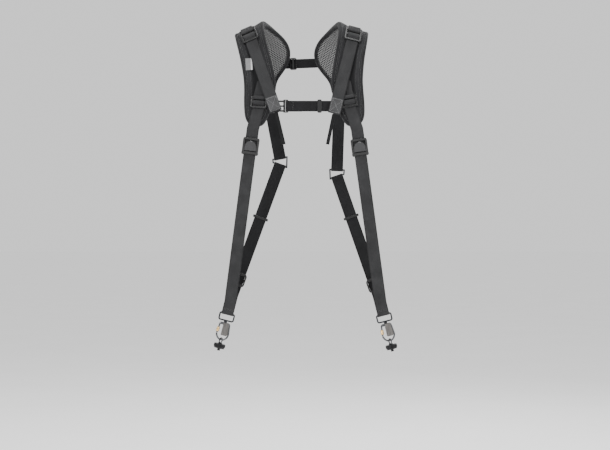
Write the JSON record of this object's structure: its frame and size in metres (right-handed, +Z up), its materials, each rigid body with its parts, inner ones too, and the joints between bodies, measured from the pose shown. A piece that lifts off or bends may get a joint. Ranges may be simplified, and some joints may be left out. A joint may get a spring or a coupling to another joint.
{
  "type": "binocular harness pack",
  "caption": "Shoulder harness with padded mesh-lined arches, buckled webbing, a sternum clip and swivel carabiners with camera screws.",
  "frame": {"origin": "midway between the two shoulder pads, at the height of the wearer's shoulders", "axes": "+X to the viewer's right when the harness is seen from the front, +Y towards the wearer's back (the front faces -Y), +Z up"},
  "size_m": [0.3886, 0.1628, 0.7013],
  "materials": {
    "spacer_mesh": "light grey honeycomb spacer mesh over a dark backing",
    "foam": "dark closed-cell foam, seen only at cut edges",
    "pad_cloth": "matt charcoal pack cloth with a darker recessed middle",
    "binding": "black woven edge binding with a stitch line",
    "webbing": "matt dark grey flat-woven webbing with a fine rib",
    "dark_webbing": "matt black flat-woven webbing",
    "buckle_metal": "black satin coated metal with worn bright edges",
    "buckle_plastic": "black satin moulded plastic",
    "dark_steel": "dark plated steel wire",
    "carabiner_steel": "grey satin steel",
    "lock_sleeve": "champagne anodised aluminium, lightly turned",
    "screw_black": "black anodised, knurled rim",
    "washer_rubber": "matt black rubber",
    "label": "plain mid-grey woven label with a plain white band"
  },
  "bodies": {
    "harness": {"pad_lining_left": "spacer_mesh", "pad_foam_left": "foam", "pad_cover_left": "pad_cloth", "pad_binding_left": "binding", "upper_buckle_left": "buckle_metal", "upper_anchor_left": "webbing", "binocular_strap_left": "webbing", "lower_buckle_left": "buckle_metal", "lower_anchor_left": "webbing", "camera_strap_left": "webbing", "rear_lower_strap_left": "dark_webbing", "rear_upper_strap_left": "dark_webbing", "rear_link_left": "dark_steel", "pad_lining_right": "spacer_mesh", "pad_foam_right": "foam", "pad_cover_right": "pad_cloth", "pad_binding_right": "binding", "upper_buckle_right": "buckle_metal", "upper_anchor_right": "webbing", "binocular_strap_right": "webbing", "lower_buckle_right": "buckle_metal", "lower_anchor_right": "webbing", "camera_strap_right": "webbing", "rear_lower_strap_right": "dark_webbing", "rear_upper_strap_right": "dark_webbing", "rear_link_right": "dark_steel", "pad_label": "label", "sternum_socket": "buckle_plastic", "sternum_strap_left": "dark_webbing", "back_strap": "dark_webbing"},
    "cam_lock_left": {"cam_lock_frame_left": "buckle_metal"},
    "cam_lever_left": {"cam_lock_lever_left": "buckle_plastic"},
    "rear_adjuster_left": {"rear_adjuster_left": "buckle_metal"},
    "rear_keeper_left": {"rear_keeper_left": "buckle_metal"},
    "tether_left": {"binocular_tether_left": "dark_webbing"},
    "ring_left": {"swivel_ring_left": "dark_steel"},
    "carabiner_left": {"carabiner_left": "carabiner_steel", "carabiner_guard_left": "carabiner_steel"},
    "gate_left": {"gate_left": "carabiner_steel"},
    "sleeve_left": {"gate_sleeve_left": "lock_sleeve"},
    "eye_left": {"fastener_eye_left": "dark_steel"},
    "screw_left": {"camera_screw_left": "screw_black", "screw_washer_left": "washer_rubber"},
    "cam_lock_right": {"cam_lock_frame_right": "buckle_metal"},
    "cam_lever_right": {"cam_lock_lever_right": "buckle_plastic"},
    "rear_adjuster_right": {"rear_adjuster_right": "buckle_metal"},
    "rear_keeper_right": {"rear_keeper_right": "buckle_metal"},
    "tether_right": {"binocular_tether_right": "dark_webbing"},
    "ring_right": {"swivel_ring_right": "dark_steel"},
    "carabiner_right": {"carabiner_right": "carabiner_steel", "carabiner_guard_right": "carabiner_steel"},
    "gate_right": {"gate_right": "carabiner_steel"},
    "sleeve_right": {"gate_sleeve_right": "lock_sleeve"},
    "eye_right": {"fastener_eye_right": "dark_steel"},
    "screw_right": {"camera_screw_right": "screw_black", "screw_washer_right": "washer_rubber"},
    "sternum_buckle": {"sternum_plug": "buckle_plastic", "sternum_strap_right": "dark_webbing"},
    "sternum_keeper": {"sternum_keeper": "buckle_plastic"},
    "back_adjuster": {"back_adjuster": "buckle_metal"}
  },
  "joints": [
    {"name": "cam_lock_slide_left", "type": "slide", "parent": "harness", "child": "cam_lock_left", "axis": [-0.1352, 0.1966, -0.9711], "range_m": [0, 0.15]},
    {"name": "cam_lever_left", "type": "hinge", "parent": "cam_lock_left", "child": "cam_lever_left", "pos_m": [-0.10957, -0.07198, -0.24961], "axis": [0.9905, 0, -0.1378], "range_deg": [0, 65]},
    {"name": "rear_adjuster_slide_left", "type": "slide", "parent": "harness", "child": "rear_adjuster_left", "axis": [0.3363, 0.1525, 0.9293], "range_m": [0, 0.06]},
    {"name": "rear_keeper_slide_left", "type": "slide", "parent": "harness", "child": "rear_keeper_left", "axis": [0.3363, 0.1525, 0.9293], "range_m": [-0.03, 0.03]},
    {"name": "ring_tilt_left", "type": "hinge", "parent": "harness", "child": "ring_left", "pos_m": [-0.16, 0, -0.592], "axis": [0.9703, 0, -0.2419], "range_deg": [-40, 40]},
    {"name": "carabiner_swivel_left", "type": "hinge", "parent": "ring_left", "child": "carabiner_left", "pos_m": [-0.16484, 0, -0.61141], "axis": [0.2419, 0, 0.9703], "continuous": true},
    {"name": "gate_left", "type": "hinge", "parent": "carabiner_left", "child": "gate_left", "pos_m": [-0.17727, 0, -0.61655], "axis": [0, -1, 0], "range_deg": [0, 18], "stiffness_Nm_per_rad": 0.02, "springref_deg": -11.46},
    {"name": "gate_sleeve_slide_left", "type": "slide", "parent": "gate_left", "child": "sleeve_left", "axis": [-0.3437, 0, -0.9391], "range_m": [0, 0.0045]},
    {"name": "screw_swing_left", "type": "hinge", "parent": "carabiner_left", "child": "eye_left", "pos_m": [-0.17379, 0, -0.64731], "axis": [0.9703, 0, -0.2419], "range_deg": [-35, 35]},
    {"name": "screw_spin_left", "type": "hinge", "parent": "eye_left", "child": "screw_left", "pos_m": [-0.17597, 0, -0.65604], "axis": [0.2419, 0, 0.9703], "continuous": true},
    {"name": "tether_swing_left", "type": "hinge", "parent": "harness", "child": "tether_left", "pos_m": [-0.0615, -0.08295, -0.1719], "axis": [1, 0, 0], "range_deg": [-45, 5]},
    {"name": "cam_lock_slide_right", "type": "slide", "parent": "harness", "child": "cam_lock_right", "axis": [0.14, 0.1968, -0.9704], "range_m": [0, 0.15]},
    {"name": "cam_lever_right", "type": "hinge", "parent": "cam_lock_right", "child": "cam_lever_right", "pos_m": [0.11794, -0.07207, -0.2516], "axis": [0.9897, 0, 0.1428], "range_deg": [0, 65]},
    {"name": "rear_adjuster_slide_right", "type": "slide", "parent": "harness", "child": "rear_adjuster_right", "axis": [-0.3203, 0.1669, 0.9325], "range_m": [0, 0.06]},
    {"name": "rear_keeper_slide_right", "type": "slide", "parent": "harness", "child": "rear_keeper_right", "axis": [-0.3203, 0.1669, 0.9325], "range_m": [-0.03, 0.03]},
    {"name": "ring_tilt_right", "type": "hinge", "parent": "harness", "child": "ring_right", "pos_m": [0.17, 0, -0.594], "axis": [0.9703, 0, 0.2419], "range_deg": [-40, 40]},
    {"name": "carabiner_swivel_right", "type": "hinge", "parent": "ring_right", "child": "carabiner_right", "pos_m": [0.17484, 0, -0.61341], "axis": [-0.2419, 0, 0.9703], "continuous": true},
    {"name": "gate_right", "type": "hinge", "parent": "carabiner_right", "child": "gate_right", "pos_m": [0.16628, 0, -0.62379], "axis": [0, -1, 0], "range_deg": [0, 18], "stiffness_Nm_per_rad": 0.02, "springref_deg": -11.46},
    {"name": "gate_sleeve_slide_right", "type": "slide", "parent": "gate_right", "child": "sleeve_right", "axis": [0.1374, 0, -0.9905], "range_m": [0, 0.0045]},
    {"name": "screw_swing_right", "type": "hinge", "parent": "carabiner_right", "child": "eye_right", "pos_m": [0.18379, 0, -0.64931], "axis": [0.9703, 0, 0.2419], "range_deg": [-35, 35]},
    {"name": "screw_spin_right", "type": "hinge", "parent": "eye_right", "child": "screw_right", "pos_m": [0.18597, 0, -0.65804], "axis": [-0.2419, 0, 0.9703], "continuous": true},
    {"name": "tether_swing_right", "type": "hinge", "parent": "harness", "child": "tether_right", "pos_m": [0.0675, -0.0831, -0.17659], "axis": [1, 0, 0], "range_deg": [-45, 5]},
    {"name": "sternum_release", "type": "slide", "parent": "harness", "child": "sternum_buckle", "axis": [1, 0, 0], "range_m": [0, 0.0105]},
    {"name": "sternum_keeper_slide", "type": "slide", "parent": "sternum_buckle", "child": "sternum_keeper", "axis": [1, 0, 0], "range_m": [-0.025, 0.01]},
    {"name": "back_adjuster_slide", "type": "slide", "parent": "harness", "child": "back_adjuster", "axis": [0.9993, -0.0126, 0.0353], "range_m": [0, 0.028]}
  ]
}
